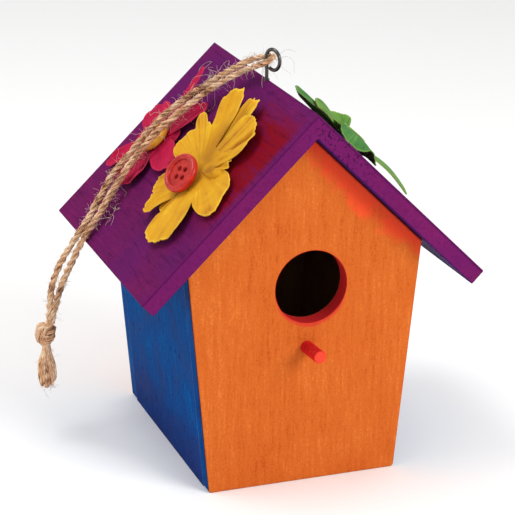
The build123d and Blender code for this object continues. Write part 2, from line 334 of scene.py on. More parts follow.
def spilled_crimson(tree, x, z, blotch):
    """Crimson inside the entrance and on its rim, and spilled below it."""
    across = minus(tree, x, ENTRANCE_X)
    up = minus(tree, z, ENTRANCE_Z)
    from_hole = minus(tree, distance(tree, across, up), ENTRANCE_RADIUS)
    rim = ramp(tree, from_hole, 0.12 * MM, 0.03 * MM)
    low = ramp(tree, up, -2.0 * MM, -11.0 * MM)
    reach = times(tree, low, times(tree, blotch, 2.2 * MM))
    spill = ramp(tree, minus(tree, from_hole, reach), 0.6 * MM, -0.6 * MM, 0.0, 0.7)
    return reckon(tree, "MAXIMUM", rim, spill)


def gable_paint(name, outer_y, inward, is_front):
    """Orange on the show face, blue on the side edges and bare wood behind."""
    material, tree, shader, place, (x, y, z) = new_material(name)
    orange = painted(tree, place, UPRIGHT, *ORANGE, 0.15, 42.0, 0.5)
    blue = painted(tree, place, UPRIGHT, *BLUE, 0.8, 60.0)
    bare = painted(tree, place, UPRIGHT, *BARE, 0.5, 40.0)
    wobble = scaled(tree, noise(tree, place, 900.0), 0.5 * MM, -0.25 * MM)
    blotch = noise(tree, place, 95.0, 4.0, 0.65)
    depth = times(tree, minus(tree, y, outer_y), inward)
    colour = orange["Color"]

    # Red has bled down the front from the joint under the right slope, and a thin line of painted shade
    # lies just under that slope; the joint under the left slope is dark paint
    under_right = under_slope(tree, x, z, 1)
    if is_front:
        bleed = scaled(tree, blotch, 18.0 * MM, -4.0 * MM)
        wash = ramp(tree, minus(tree, under_right, bleed), 4.0 * MM, -4.0 * MM, 0.0, 0.85)
        colour = tint(tree, wash, colour, RED_WASH)
    # Painted shade: a thin dark line just under the right slope's overhang
    shade_and_joint_line = ramp(tree, plus(tree, under_right, wobble), 1.1 * MM, 0.2 * MM, 0.0, 0.9)
    colour = tint(tree, shade_and_joint_line, colour, RIGHT_SLOPE_SHADE)
    # Dark paint in the joint under the left slope
    under_left = under_slope(tree, x, z, -1)
    shade_and_joint_line = ramp(tree, plus(tree, under_left, wobble), 0.9 * MM, 0.3 * MM, 0.0, 0.85)
    colour = tint(tree, shade_and_joint_line, colour, JOINT_VIOLET)

    # The side edges are blue, with a dark line at the corner where the two paints meet
    side_edge = ramp(tree, plus(tree, depth, wobble), 0.30 * MM, 0.42 * MM)
    colour = tint(tree, side_edge, colour, blue["Color"])
    corner_start = ramp(tree, depth, 0.12 * MM, 0.3 * MM)
    corner_end = ramp(tree, depth, 1.1 * MM, 0.6 * MM)
    corner = times(tree, times(tree, corner_start, corner_end), 0.85)
    colour = tint(tree, corner, colour, EDGE_DARK)
    if is_front:
        colour = tint(tree, spilled_crimson(tree, x, z, blotch), colour, CRIMSON)
    inside = ramp(tree, depth, BOARD - 0.12 * MM, BOARD - 0.04 * MM)
    colour = tint(tree, inside, colour, bare["Color"])
    finish_paint(tree, shader, colour, orange, 0.10 * MM)
    return material


def dress(node, material):
    """A board or fitting of the frame gets its finish on every slot."""
    for place in boards[node].material_slots:
        place.material = material


dress("front_panel", gable_paint("front_orange", FRONT, 1.0, True))
dress("back_panel", gable_paint("back_orange", BACK, -1.0, False))


# ---- Side walls: two thin boards that lean outwards, glued between the gables, their grain
# upright.  Two thin coats of blue leave them mottled, and they are darker and more violet towards the foot.
FOOT_VIOLET = srgb(34, 30, 92)
SPECK_DARK = srgb(16, 12, 52)


def wall_paint():
    """Mottled blue outside, with dark specks, and bare wood inside."""
    material, tree, shader, place, (x, y, z) = new_material("wall_blue")
    blue = painted(tree, place, UPRIGHT, *BLUE, 0.85, 60.0)
    bare = painted(tree, place, UPRIGHT, *BARE, 0.5, 40.0)
    colour = tint(tree, ramp(tree, z, 34.0 * MM, 0.0, 0.0, 0.62), blue["Color"], FOOT_VIOLET)
    specks = ramp(tree, noise(tree, place, 420.0, 2.0, 0.5), 0.66, 0.72, 0.0, 0.85)
    colour = tint(tree, specks, colour, SPECK_DARK)
    normal = tree.nodes.new("ShaderNodeTexCoord").outputs["Normal"]
    outward = shader_node(tree, "SeparateXYZ", {0: normal})
    facing = times(tree, outward.outputs["X"], reckon(tree, "SIGN", x))
    colour = tint(tree, ramp(tree, facing, 0.5, 0.2), colour, bare["Color"])
    finish_paint(tree, shader, colour, blue, 0.10 * MM)
    return material


wall_blue = wall_paint()
dress("left_side", wall_blue)
dress("right_side", wall_blue)


# ---- Floor: a bare basswood board let in flush between the four walls, never painted.
FLOOR_GRAIN = (620.0, 38.0, 620.0)


def bare_paint():
    """Bare wood, with its grain running from front to back."""
    material, tree, shader, place, _ = new_material("bare_basswood")
    bare = painted(tree, place, FLOOR_GRAIN, *BARE, 0.6, 40.0)
    finish_paint(tree, shader, bare["Color"], bare, 0.12 * MM)
    return material


dress("floor_panel", bare_paint())


# ---- Roof: two boards mitred at the ridge, their grain running from front to back.  The purple is
# thin: it turns violet where it pooled, and red shows through it beside the yellow flower.
PURPLE = [srgb(126, 33, 94), srgb(106, 27, 84), srgb(82, 21, 76)]
ROOF_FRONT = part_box("left_roof")[0].y
ROOF_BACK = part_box("left_roof")[1].y


BOARD_GRAIN = (700.0, 60.0, 700.0)
BRUSH_GRAIN = (260.0, 30.0, 260.0)
POOLED_VIOLET = srgb(88, 26, 104)
PATCH_RED = srgb(128, 14, 28)
DRAG_DARK = srgb(46, 8, 44)
END_PURPLE = srgb(104, 24, 84)
PIT_DARK = srgb(22, 10, 34)
ARRIS_DARK = srgb(44, 10, 60)
UNDER_BLUE = srgb(40, 26, 92)


def slope_place(tree, x, z):
    """How far a point lies down its slope, and how high above the board's upper face."""
    out = reckon(tree, "ABSOLUTE", x)
    fall = minus(tree, RIDGE, z)
    down = plus(tree, times(tree, out, math.cos(PITCH)), times(tree, fall, math.sin(PITCH)))
    height = minus(tree, times(tree, out, math.sin(PITCH)), times(tree, fall, math.cos(PITCH)))
    return down, height


def red_patch(tree, x, y, ragged_y, ragged_down, streaks):
    """Where red shows on the left slope: from the yellow flower to the front edge."""
    red = times(tree, ramp(tree, ragged_y, -14.0 * MM, -22.0 * MM), ramp(tree, x, 0.0, -2.0 * MM))
    red = times(tree, red, ramp(tree, ragged_down, 56.0 * MM, 40.0 * MM))
    red = times(tree, red, ramp(tree, ragged_down, 2.0 * MM, 14.0 * MM))
    red = times(tree, red, ramp(tree, y, ROOF_FRONT + 0.3 * MM, ROOF_FRONT + 5.0 * MM))
    return times(tree, red, ramp(tree, streaks, 0.34, 0.5, 0.55, 0.95))


def roof_paint():
    """Thin purple with violet pools, a red patch, specked end grain and dark arrises."""
    material, tree, shader, place, (x, y, z) = new_material("roof_purple")
    purple = painted(tree, place, BOARD_GRAIN, *PURPLE, 0.35, 48.0, 0.9)
    down, height = slope_place(tree, x, z)
    brushed = stretched(tree, place, BRUSH_GRAIN)
    streaks = noise(tree, brushed, 1.0, 4.0, 0.65)
    ragged = scaled(tree, streaks, 16.0 * MM, -8.0 * MM)
    ragged_down = plus(tree, down, ragged)

    # Violet in soft patches where the paint pooled, and red beside the yellow flower
    pool = times(tree, ramp(tree, noise(tree, place, 28.0, 3.0, 0.6), 0.42, 0.62), 0.35)
    colour = tint(tree, pool, purple["Color"], POOLED_VIOLET)
    red = red_patch(tree, x, y, plus(tree, y, ragged), ragged_down, streaks)
    colour = tint(tree, red, colour, PATCH_RED)

    # Darker drag marks across the red and along the grain
    drag = ramp(tree, noise(tree, brushed, 2.4, 3.0, 0.6), 0.56, 0.68, 0.0, 0.32)
    colour = tint(tree, drag, colour, DRAG_DARK)

    # End grain on the front and back edges takes the paint in specks, most near the ridge
    front_end = ramp(tree, y, ROOF_FRONT + 0.6 * MM, ROOF_FRONT + 0.2 * MM)
    back_end = ramp(tree, y, ROOF_BACK - 0.6 * MM, ROOF_BACK - 0.2 * MM)
    pits = ramp(tree, noise(tree, place, 900.0, 2.0, 0.5), 0.54, 0.64)
    pits = times(tree, pits, ramp(tree, ragged_down, 40.0 * MM, 8.0 * MM, 0.1, 0.75))
    pits = times(tree, pits, ramp(tree, x, -1.0 * MM, 1.0 * MM, 0.3, 1.0))
    end_colour = tint(tree, pits, tint(tree, 0.45, colour, END_PURPLE), PIT_DARK)
    colour = tint(tree, reckon(tree, "MAXIMUM", front_end, back_end), colour, end_colour)

    # The arrises are dark where the coats meet, and the underside is mixed most of the way to a dark blue
    edge = ramp(tree, height, -0.5 * MM, -0.1 * MM)
    arris = times(tree, minus(tree, 1.0, edge), ramp(tree, height, -1.1 * MM, -0.6 * MM))
    colour = tint(tree, times(tree, arris, 0.55), colour, ARRIS_DARK)
    under = ramp(tree, height, -BOARD + 0.6 * MM, -BOARD + 0.1 * MM, 0.0, 0.75)
    colour = tint(tree, under, colour, UNDER_BLUE)
    finish_paint(tree, shader, colour, purple, 0.12 * MM)
    return material


roof_purple = roof_paint()
dress("left_roof", roof_purple)
dress("right_roof", roof_purple)


# ---- Perch: a short hardwood dowel glued through the front board and dipped in red, which is
# thinner and paler on its sanded end.
PERCH_REDS = [srgb(226, 60, 48), srgb(206, 36, 36), srgb(176, 24, 30)]
PERCH_TIP = srgb(232, 84, 58)


def perch_paint():
    """Red, paler on the end that stands out."""
    material, tree, shader, place, (x, y, z) = new_material("perch_red")
    red = painted(tree, place, BOARD_GRAIN, *PERCH_REDS, 0.3, 120.0)
    tip = ramp(tree, y, FRONT - 11.8 * MM, FRONT - 12.4 * MM, 0.0, 0.55)
    colour = tint(tree, tip, red["Color"], PERCH_TIP)
    finish_paint(tree, shader, colour, red, 0.06 * MM)
    return material


dress("perch", perch_paint())


# ---- Screw eye and pins: plated steel wire bent to a ring on a screw that turns into the ridge,
# and headless pins driven just below the boards' faces and painted over with them.
STEEL = srgb(90, 86, 84)
TARNISH = srgb(96, 92, 90)
DRAWN_GRAIN = (900.0, 900.0, 3000.0)
PIN_GRAIN = (520.0, 34.0, 520.0)


def plated_steel():
    """Plated wire with fine drawing marks and a little tarnish."""
    material, tree, shader, place, _ = new_material("eye_plating")
    scratches = noise(tree, stretched(tree, place, DRAWN_GRAIN), 1.0, 3.0, 0.6)
    tarnish = ramp(tree, noise(tree, place, 700.0, 3.0, 0.6), 0.45, 0.7, 0.0, 0.6)
    tree.links.new(tint(tree, tarnish, STEEL, TARNISH), shader.inputs["Base Color"])
    tree.links.new(ramp(tree, scratches, 0.3, 0.7, 0.2, 0.36), shader.inputs["Roughness"])
    shader.inputs["Metallic"].default_value = 1.0
    set_relief(tree, shader, scratches, 0.03 * MM)
    return material


dress("screw_eye", plated_steel())


def pin_paint():
    """The paint of the board that each pin is sunk in."""
    material, tree, shader, place, (x, y, z) = new_material("painted_pins")
    gable = painted(tree, place, UPRIGHT, *ORANGE, 0.2, 42.0)
    purple = painted(tree, place, PIN_GRAIN, *PURPLE, 0.5, 48.0)
    height = scaled(tree, reckon(tree, "ABSOLUTE", x), math.tan(PITCH), z)
    in_roof = ramp(tree, height, APEX + 1.0 * MM, APEX + 2.0 * MM)
    colour = tint(tree, in_roof, gable["Color"], purple["Color"])
    finish_paint(tree, shader, colour, gable, 0.05 * MM)
    return material


painted_pins = pin_paint()
for pins in ("wall_pins", "floor_pins", "roof_pins"):
    dress(pins, painted_pins)


# ---- Glue: blobs of clear craft glue under the flowers and the buttons, slightly milky.
GLUE_DEEP = srgb(214, 200, 176)
GLUE_MILKY = srgb(238, 230, 214)


def glue_finish():
    """Slightly milky glue with a soft gloss."""
    material, tree, shader, place, _ = new_material("craft_glue")
    cloudy = ramp(tree, noise(tree, place, 300.0, 3.0, 0.6), 0.35, 0.65)
    tree.links.new(tint(tree, cloudy, GLUE_DEEP, GLUE_MILKY), shader.inputs["Base Color"])
    shader.inputs["Roughness"].default_value = 0.35
    set_relief(tree, shader, cloudy, 0.05 * MM)
    return material


craft_glue = glue_finish()
dress("flower_glue", craft_glue)
dress("button_glue", craft_glue)


# ---- Flowers: each is two layers of thin stiffened cloth, die-cut into petals, pressed together
# at the middle and glued down.  The petals lift, fold and curl as they were bent by hand.
# Angles turn in the roof's plane, from the front towards the eave.
CLOTH = 0.35 * MM
LEFT, RIGHT = -1, 1
LAYER_GAP = 0.15 * MM
LOWER_BASE, UPPER_BASE = 0.9, 1.45
FULL_TURN = 2 * math.pi
AROUND = 540
OUTWARD = 44


def on_roof(side, y, down, height):
    """Points on a slope, from their place along Y, down the slope and above it."""
    x = side * (down * math.cos(PITCH) + height * math.sin(PITCH))
    z = RIDGE - down * math.sin(PITCH) + height * math.cos(PITCH)
    return np.stack([x, y + 0 * x, z], axis=-1)


def middle_on_roof(node):
    """The side, the place along Y and the place down the slope of a flower or a button."""
    low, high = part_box(node)
    centre = (low + high) / 2
    side = RIGHT if centre.x > 0 else LEFT
    down = side * centre.x * math.cos(PITCH) + (RIDGE - centre.z) * math.sin(PITCH)
    return side, centre.y, down


def petal(angle, reach, width, root=0.75, end=3.0, **bends):
    """One petal: its direction in degrees, its length and width in millimetres, and its bends.
    root is how slowly it widens from the middle, and end how blunt its tip is.  It may lift at
    its tip, arch, cup at its sides, tilt, ripple, and be ragged at its edge, in millimetres."""
    made = dict.fromkeys(("lift", "arch", "cup", "tilt", "ripple", "rag"), 0.0)
    made["lift"] = 1.0
    made.update(bends, reach=reach, width=width)
    made = {name: size * MM for name, size in made.items()}
    return dict(made, angle=math.radians(angle), root=root, end=end)


def fold(angle, start, finish, half_width, depth, dark):
    """A crease: its direction in degrees, where it starts and ends, its size in millimetres and
    how dark its painted shade is."""
    sizes = dict(start=start * MM, finish=finish * MM, half_width=half_width * MM, depth=depth * MM)
    return dict(sizes, angle=math.radians(angle), dark=dark)


def turned_from(turns, angle):
    """How far each direction turns from an angle, either way."""
    return (turns - angle + math.pi) % FULL_TURN - math.pi


def petal_edge(p, turns):
    """How far a petal's outline reaches in each direction."""
    away = turned_from(turns, p["angle"])
    steps = np.linspace(0.02, 1.0, 140)
    outline = steps ** p["root"] * np.sqrt(np.clip(1 - steps ** p["end"], 0, 1))
    half = p["width"] / 2 * outline / outline.max()
    far = p["reach"] * steps / np.maximum(np.cos(away)[:, None], 1e-3)
    covered = (p["reach"] * steps * np.abs(np.tan(away))[:, None] <= half) & (np.abs(away)[:, None] < 1.4)
    return np.where(covered, far, 0).max(axis=1)


def cloth_outline(petals, hub, turns, seed):
    """The cut edge all round: the furthest petal in each direction, slightly uneven."""
    edges = np.array([petal_edge(p, turns) for p in petals])
    rng = random.Random(seed)
    rough = 0 * turns
    for waves in (17, 29, 43, 71, 97):
        rough = rough + np.sin(waves * turns + rng.uniform(0, 6.3)) / 5
    shares = np.maximum(edges, 1e-6) ** 10
    shares = shares / shares.sum(axis=0)
    ragged = sum(share * p["rag"] for share, p in zip(shares, petals))
    edge = np.maximum(edges.max(axis=0), hub)
    return edge + rough * (0.18 * MM + ragged) * np.clip((edge - hub) / hub, 0, 1), shares


def bent(petals, shares, radii, turns, seed):
    """The height of bent cloth above its flat middle, over a grid of radii and directions."""
    rng = random.Random(seed + 50)
    total = 0 * radii
    for share, p in zip(shares, petals):
        away = turned_from(turns, p["angle"])
        along = np.clip(radii * np.cos(away) / p["reach"], 0, 1.2)
        across = np.clip(radii * np.sin(away) / (p["width"] / 2), -1.3, 1.3)
        wave = np.sin(3.4 * math.pi * across + rng.uniform(0, 6.3)) + 0.6 * np.sin(6.1 * across + 9 * along)
        one = p["lift"] * along**1.6
        one = one + p["cup"] * across**2 * np.sqrt(along)
        one = one + p["tilt"] * across * along
        one = one + p["ripple"] * wave * along**2
        one = one + p["arch"] * np.sin(math.pi * np.clip(along, 0, 1))
        total = total + share * one
    return total


def cloth_material(name, pale, middle, deep, crease, edge_pale):
    """Stiffened cloth: veins that run outwards, painted shade along its creases, a pale cut edge and a fine
    weave.
    """
    material, tree, shader, place, _ = new_material(name)
    flat = tree.nodes.new("ShaderNodeUVMap")
    flat.uv_map = "flat_cut"
    u, v, _ = shader_node(tree, "SeparateXYZ", {0: flat.outputs["UV"]}).outputs
    radius = reckon(tree, "MAXIMUM", distance(tree, u, v), 2.0 * MM)
    direction = shader_node(tree, "CombineXYZ", {
        "X": reckon(tree, "DIVIDE", u, radius),
        "Y": reckon(tree, "DIVIDE", v, radius),
        "Z": times(tree, radius, 0.6),
    }).outputs[0]
    veins = noise(tree, direction, 13.0, 4.0, 0.62)
    broad = noise(tree, direction, 4.0, 2.0, 0.5)
    cloudy = noise(tree, place, 130.0, 3.0, 0.6)
    value = scaled(tree, veins, 0.9, scaled(tree, broad, 0.7, -0.3))
    value = scaled(tree, cloudy, 0.8, minus(tree, value, 0.4))
    colour = tint(tree, ramp(tree, value, 0.2, 0.5), deep, middle)
    colour = tint(tree, ramp(tree, value, 0.5, 0.85), colour, pale)
    # Painted shade: the folds and creases are tinted towards the crease colour
    marks = shader_node(tree, "Attribute", attribute_name="cloth_shade_and_rim").outputs["Vector"]
    painted_crease_shade, rim, _ = shader_node(tree, "SeparateXYZ", {0: marks}).outputs
    colour = tint(tree, painted_crease_shade, colour, crease)
    cut_edge = times(tree, ramp(tree, rim, 0.965, 0.995), 0.4)
    colour = tint(tree, cut_edge, colour, edge_pale)
    tree.links.new(colour, shader.inputs["Base Color"])
    tree.links.new(ramp(tree, veins, 0.3, 0.7, 0.52, 0.7), shader.inputs["Roughness"])
    shader.inputs["Specular IOR Level"].default_value = 0.08
    threads = {"Vector": flat.outputs["UV"], "Scale": 420.0}
    warp = shader_node(tree, "TexWave", threads, bands_direction="X")
    weft = shader_node(tree, "TexWave", threads, bands_direction="Y")
    weave = reckon(tree, "MAXIMUM", warp.outputs["Fac"], weft.outputs["Fac"])
    set_relief(tree, shader, scaled(tree, weave, 0.10, veins), 0.35 * MM)
    return material


def pressed_flat(height, base, forward, fall, pressed):
    """The cloth's height where a button presses it: a place, a radius and a fade, in millimetres."""
    ahead, across, radius, fade = (size * MM for size in pressed)
    gap = np.hypot(fall - across, forward - ahead)
    free = np.clip((gap - radius) / fade, 0, 1)
    return base + (height - base) * free * free * (3 - 2 * free)


def folded(height, forward, fall, folds):
    """The cloth's height with its folds pressed in, and the painted shade that each fold lays on its
    colour.
    """
    shade = 0 * height
    for crease in folds:
        turn = crease["angle"]
        along = forward * math.cos(turn) + fall * math.sin(turn)
        across = -forward * math.sin(turn) + fall * math.cos(turn)
        begun = np.clip((along - crease["start"]) / (2 * MM), 0, 1)
        left = np.clip((crease["finish"] - along) / (3 * MM), 0, 1)
        dent = begun * left * np.exp(-((across / crease["half_width"]) ** 2))
        height = height - crease["depth"] * dent
        # Painted shade: each fold darkens the cloth's colour as well as denting it
        shade = np.maximum(shade, crease["dark"] * dent)
    return height, shade


def disc_faces(flip):
    """The faces of a disc of rings about one middle point."""
    faces = [(0, 1 + i, 1 + (i + 1) % AROUND) for i in range(AROUND)]
    for ring in range(OUTWARD - 1):
        inner, outer = 1 + ring * AROUND, 1 + (ring + 1) * AROUND
        for i in range(AROUND):
            j = (i + 1) % AROUND
            faces.append((inner + i, outer + i, outer + j, inner + j))
    return [face[::-1] for face in faces] if flip else faces


def cloth_object(name, vertices, flip, flat, marks, material):
    """The bent cloth as an object, with its flat cut as UVs, and its painted fold shade and cut-edge rim as
    an attribute.
    """
    mesh = bpy.data.meshes.new(name)
    mesh.from_pydata(vertices.tolist(), [], disc_faces(flip))
    attribute = mesh.attributes.new("cloth_shade_and_rim", "FLOAT_VECTOR", "POINT")
    attribute.data.foreach_set("vector", marks.astype(np.float32).ravel())
    loops = np.zeros(len(mesh.loops), np.int32)
    mesh.loops.foreach_get("vertex_index", loops)
    uv = mesh.uv_layers.new(name="flat_cut")
    uv.data.foreach_set("uv", flat[loops].astype(np.float32).ravel())
    mesh.materials.append(material)
    cloth = bpy.data.objects.new(name, mesh)
    bpy.context.collection.objects.link(cloth)
    bpy.ops.object.select_all(action="DESELECT")
    bpy.context.view_layer.objects.active = cloth
    cloth.select_set(True)
    solid = cloth.modifiers.new("thickness", "SOLIDIFY")
    solid.thickness = CLOTH
    solid.offset = 0.0
    bpy.ops.object.modifier_apply(modifier="thickness")
    bpy.ops.object.shade_smooth_by_angle(angle=math.radians(50))
    return cloth


def cloth_layer(name, node, petals, hub, base, seed, material, below=None, pressed=None, folds=()):
    """One die-cut layer: a disc of rings out to the cut edge, bent, pressed and folded.
    Returns its object, its flat size, its flat area and its height over another layer's grid."""
    base = base * MM
    side, y, down = middle_on_roof(node)
    turns = np.linspace(0, FULL_TURN, AROUND, endpoint=False)
    edge, shares = cloth_outline(petals, hub * MM, turns, seed)
    outward = np.linspace(0, 1, OUTWARD + 1)[1:] ** 0.8
    radii = outward[:, None] * edge[None, :]
    spread = np.broadcast_to(turns, radii.shape)
    forward, fall = radii * np.cos(spread), radii * np.sin(spread)
    height = base + bent(petals, shares[:, None, :], radii, spread, seed)
    if pressed:
        height = pressed_flat(height, base, forward, fall, pressed)
    height, shade = folded(height, forward, fall, folds)
    if below is not None:
        height = np.maximum(height, below(radii, spread) + CLOTH + LAYER_GAP)
    height = np.maximum(height, base)
    points = on_roof(side, y - forward, down + fall, height).reshape(-1, 3)
    middle = on_roof(side, np.array([y]), np.array([down]), np.array([height[0].mean()]))
    rim = np.broadcast_to(outward[:, None], radii.shape)
    # The painted shade of the folds, and how far out towards the cut edge each point lies
    marks = np.stack([shade, rim, 0 * rim], axis=-1).reshape(-1, 3)
    flat = np.stack([forward, fall], axis=-1).reshape(-1, 2)
    cloth = cloth_object(
        name,
        np.concatenate([middle, points]),
        side == LEFT,
        np.concatenate([[[0.0, 0.0]], flat]),
        np.concatenate([[[0.0, 0.0, 0.0]], marks]),
        material,
    )
    area = 0.5 * float((edge**2).sum()) * FULL_TURN / AROUND
    wide = float(np.ptp(edge * np.cos(turns)))
    deep = float(np.ptp(edge * np.sin(turns)))
    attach(cloth, "root")
    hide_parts(node)

    def surface(radii_asked, turns_asked):
        edge_there = np.interp(turns_asked, turns, edge, period=FULL_TURN)
        share_there = np.stack([np.interp(turns_asked, turns, s, period=FULL_TURN) for s in shares])
        within = np.minimum(radii_asked, edge_there)
        there = base + bent(petals, share_there, within, turns_asked, seed)
        past = np.clip((radii_asked - edge_there) / (1.5 * MM), 0, 1)
        return np.maximum(there, base) * (1 - past) + base * past

    return cloth, (wide, deep), area, surface


# Each cloth's crease colour is the painted shade laid in its folds
yellow_cloth = cloth_material(
    "yellow_cloth",
    pale=srgb(236, 188, 44),
    middle=srgb(218, 158, 32),
    deep=srgb(186, 120, 28),
    crease=srgb(146, 84, 26),
    edge_pale=srgb(252, 214, 74),
)
pink_cloth = cloth_material(
    "pink_cloth",
    pale=srgb(208, 34, 84),
    middle=srgb(184, 22, 68),
    deep=srgb(148, 16, 54),
    crease=srgb(84, 10, 44),
    edge_pale=srgb(220, 66, 96),
)
dark_green_cloth = cloth_material(
    "dark_green_cloth",
    pale=srgb(112, 150, 78),
    middle=srgb(66, 118, 58),
    deep=srgb(34, 82, 40),
    crease=srgb(20, 50, 24),
    edge_pale=srgb(150, 176, 96),
)
green_cloth = cloth_material(
    "green_cloth",
    pale=srgb(128, 164, 80),
    middle=srgb(94, 136, 58),
    deep=srgb(60, 106, 46),
    crease=srgb(34, 68, 30),
    edge_pale=srgb(176, 192, 108),
)

# The petals of both layers, how far their uncut middle reaches, where the button presses the upper
# one down, and the folds with their painted shade; a fold of no depth is painted shade alone.  Each
# layer is cut by its own uneven hand, which its seed sets.
FLOWERS = {
    "yellow": dict(
        roof="left_roof",
        lower_cloth=yellow_cloth,
        upper_cloth=yellow_cloth,
        hub=9.0,
        seed=1,
        pressed=(0.0, 4.8, 6.0, 6.0),
        # Painted shade only: the lower petal darkened where it shows between the upper ones
        lower_folds=[fold(271, 10.0, 27.0, 4.0, 0.0, 0.5)],
        upper_folds=[
            fold(348, 4.0, 13.0, 2.4, 1.2, 0.7),
            fold(309, 14.0, 26.0, 0.9, 1.0, 0.5),
            fold(84, 8.0, 21.0, 0.8, 0.8, 0.6),
            # Painted shade only, across the middle of the flower
            fold(262, 2.0, 20.0, 6.0, 0.0, 0.45),
        ],
        lower=[
            petal(271, 30, 9.5, lift=3.0, cup=0.8, ripple=0.4, end=6, rag=1.4),
            petal(335, 17.5, 9, lift=1.2, cup=1.6, ripple=0.4, end=3),
            petal(35, 15, 11, lift=0.3, end=3),
            petal(88, 19, 11, lift=0.5, end=3),
            petal(150, 16, 11, lift=0.3, end=3),
            petal(222, 17, 10, lift=0.5, end=3),
        ],
        upper=[
            petal(8, 28.5, 16, lift=0.4, cup=1.0, ripple=0.2, root=0.8, end=3.0, rag=0.2),
            petal(14, 31.5, 11, lift=0.4, cup=0.6, ripple=0.2, root=0.8, end=2.0, rag=0.2),
            petal(59, 31.5, 18, lift=1.0, cup=1.0, ripple=0.25, end=4.5, rag=0.4),
            petal(122, 20, 14, lift=1.4, cup=1.2, ripple=0.3, end=4.0, rag=0.3),
            petal(106, 23.8, 8, lift=1.4, cup=0.8, ripple=0.3, end=3.0, rag=0.2),
            petal(203, 20.5, 17, lift=3.0, cup=1.0, ripple=0.2, end=5.0, rag=0.1),
            petal(215.5, 26, 5.5, lift=3.5, cup=0.6, root=1.1, end=3.0),
            petal(247, 32, 12, lift=3.5, cup=1.2, ripple=0.4, root=1.0, end=5.0, rag=0.9),
            petal(302, 27, 18, lift=2.4, cup=1.0, ripple=0.3, end=4.0, rag=0.3),
        ],
    ),
    "pink": dict(
        roof="left_roof",
        lower_cloth=pink_cloth,
        upper_cloth=pink_cloth,
        hub=7.0,
        seed=3,
        pressed=(2.5, 0.0, 5.5, 6.0),
        lower_folds=[],
        upper_folds=[fold(45, 6.0, 18.0, 0.9, 0.9, 0.7), fold(92, 6.0, 16.0, 0.7, 0.6, 0.6)],
        lower=[
            petal(340, 14.5, 9, lift=0.4, end=1.6),
            petal(38, 11, 8, lift=0.3, end=1.6),
            petal(98, 17, 8, lift=0.3, end=1.6),
            petal(168, 13, 8, lift=0.3, end=1.6),
            petal(235, 16, 8, lift=0.4, end=1.6),
            petal(290, 17, 8, lift=0.4, end=1.6),
        ],
        upper=[
            petal(264.5, 30, 4.6, lift=3.5, ripple=0.1, end=1.2),
            petal(310, 26, 9.5, lift=1.0, cup=1.0, tilt=0.4, ripple=0.3, end=1.8),
            petal(9, 26.5, 11.5, lift=0.8, cup=1.0, tilt=-0.4, ripple=0.3, end=1.9),
            petal(66, 22, 14, lift=1.0, cup=1.0, tilt=0.4, ripple=0.3, end=1.9),
            petal(128, 23.5, 8, lift=0.8, cup=1.0, tilt=0.3, ripple=0.3, end=1.4),
            petal(211, 18, 13, lift=0.8, cup=1.2, tilt=-0.3, ripple=0.4, end=2.2),
        ],
    ),
    "green": dict(
        roof="right_roof",
        lower_cloth=dark_green_cloth,
        upper_cloth=green_cloth,
        hub=8.0,
        seed=5,
        pressed=(0.0, 0.0, 6.2, 2.5),
        lower_folds=[],
        upper_folds=[],
        lower=[
            petal(266, 27.5, 9, lift=2.8, arch=2.4, tilt=-1.6, ripple=0.1, end=1.3),
            petal(254, 24.5, 6, lift=2.2, arch=0.4, ripple=0.1, end=1.3),
            petal(338, 16, 13, lift=0.2, arch=4.4, ripple=0.1),
            petal(22, 13.5, 10, lift=3.4, arch=1.6, tilt=-0.8, ripple=0.1, end=1.6),
            petal(42, 13, 9, lift=1.0, arch=1.0, tilt=0.8, ripple=0.1, end=1.6),
            petal(135, 22, 9, lift=1.2, cup=0.4, ripple=0.1, end=1.6),
            petal(200, 22, 9, lift=1.2, cup=0.4, ripple=0.1, end=1.6),
        ],
        upper=[
            petal(277, 20.5, 10, lift=3.0, arch=2.6, tilt=-1.6, ripple=0.1),
            petal(186, 14, 18, lift=7.5, tilt=-3.5, ripple=0.1),
            petal(90, 30.5, 9, lift=1.8, arch=2.8, tilt=1.6, ripple=0.05, end=1.3),
            petal(140, 18, 12, lift=2.0, arch=1.0, cup=0.4, ripple=0.15),
        ],
    ),
}
for colour, flower in FLOWERS.items():
    lower, flat, area, bed = cloth_layer(
        colour + "_lower_petals", colour + "_flower_lower", flower["lower"], flower["hub"], LOWER_BASE,
        flower["seed"], flower["lower_cloth"], folds=flower["lower_folds"],
    )
    upper, flat, area, _ = cloth_layer(
        colour + "_upper_petals", colour + "_flower_upper", flower["upper"], flower["hub"], UPPER_BASE,
        flower["seed"] + 1, flower["upper_cloth"],
        below=bed, pressed=flower["pressed"], folds=flower["upper_folds"],
    )


# ---- Buttons: four-hole shirt buttons of cast plastic with a rounded rim, glued over the middle of
# each flower.  They are glossy, with faint streaks of pigment and rubbed, paler spots.
def button_plastic(name, tone, deep, pale):
    """Glossy plastic with faint streaks and rubbed, paler spots."""
    material, tree, shader, place, _ = new_material(name)
    streak = noise(tree, place, 260.0, 4.0, 0.6, 0.8)
    colour = tint(tree, ramp(tree, streak, 0.3, 0.7), deep, tone)
    rubbed = ramp(tree, noise(tree, place, 900.0, 3.0, 0.6), 0.55, 0.75, 0.0, 0.3)
    tree.links.new(tint(tree, rubbed, colour, pale), shader.inputs["Base Color"])
    gloss = ramp(tree, noise(tree, place, 500.0, 3.0, 0.6), 0.3, 0.7, 0.22, 0.4)
    tree.links.new(gloss, shader.inputs["Roughness"])
    shader.inputs["Coat Weight"].default_value = 0.1
    shader.inputs["Specular IOR Level"].default_value = 0.3
    shader.inputs["Coat Roughness"].default_value = 0.12
    set_relief(tree, shader, streak, 0.04 * MM)
    return material


BUTTON_COLOURS = {
    "red": (srgb(204, 44, 36), srgb(168, 26, 22), srgb(228, 96, 80)),
    "yellow": (srgb(232, 176, 52), srgb(214, 146, 38), srgb(250, 214, 110)),
    "blue": (srgb(40, 104, 176), srgb(26, 74, 140), srgb(110, 160, 210)),
}
for button, plastics in BUTTON_COLOURS.items():
    dress(button + "_button", button_plastic(button + "_plastic", *plastics))


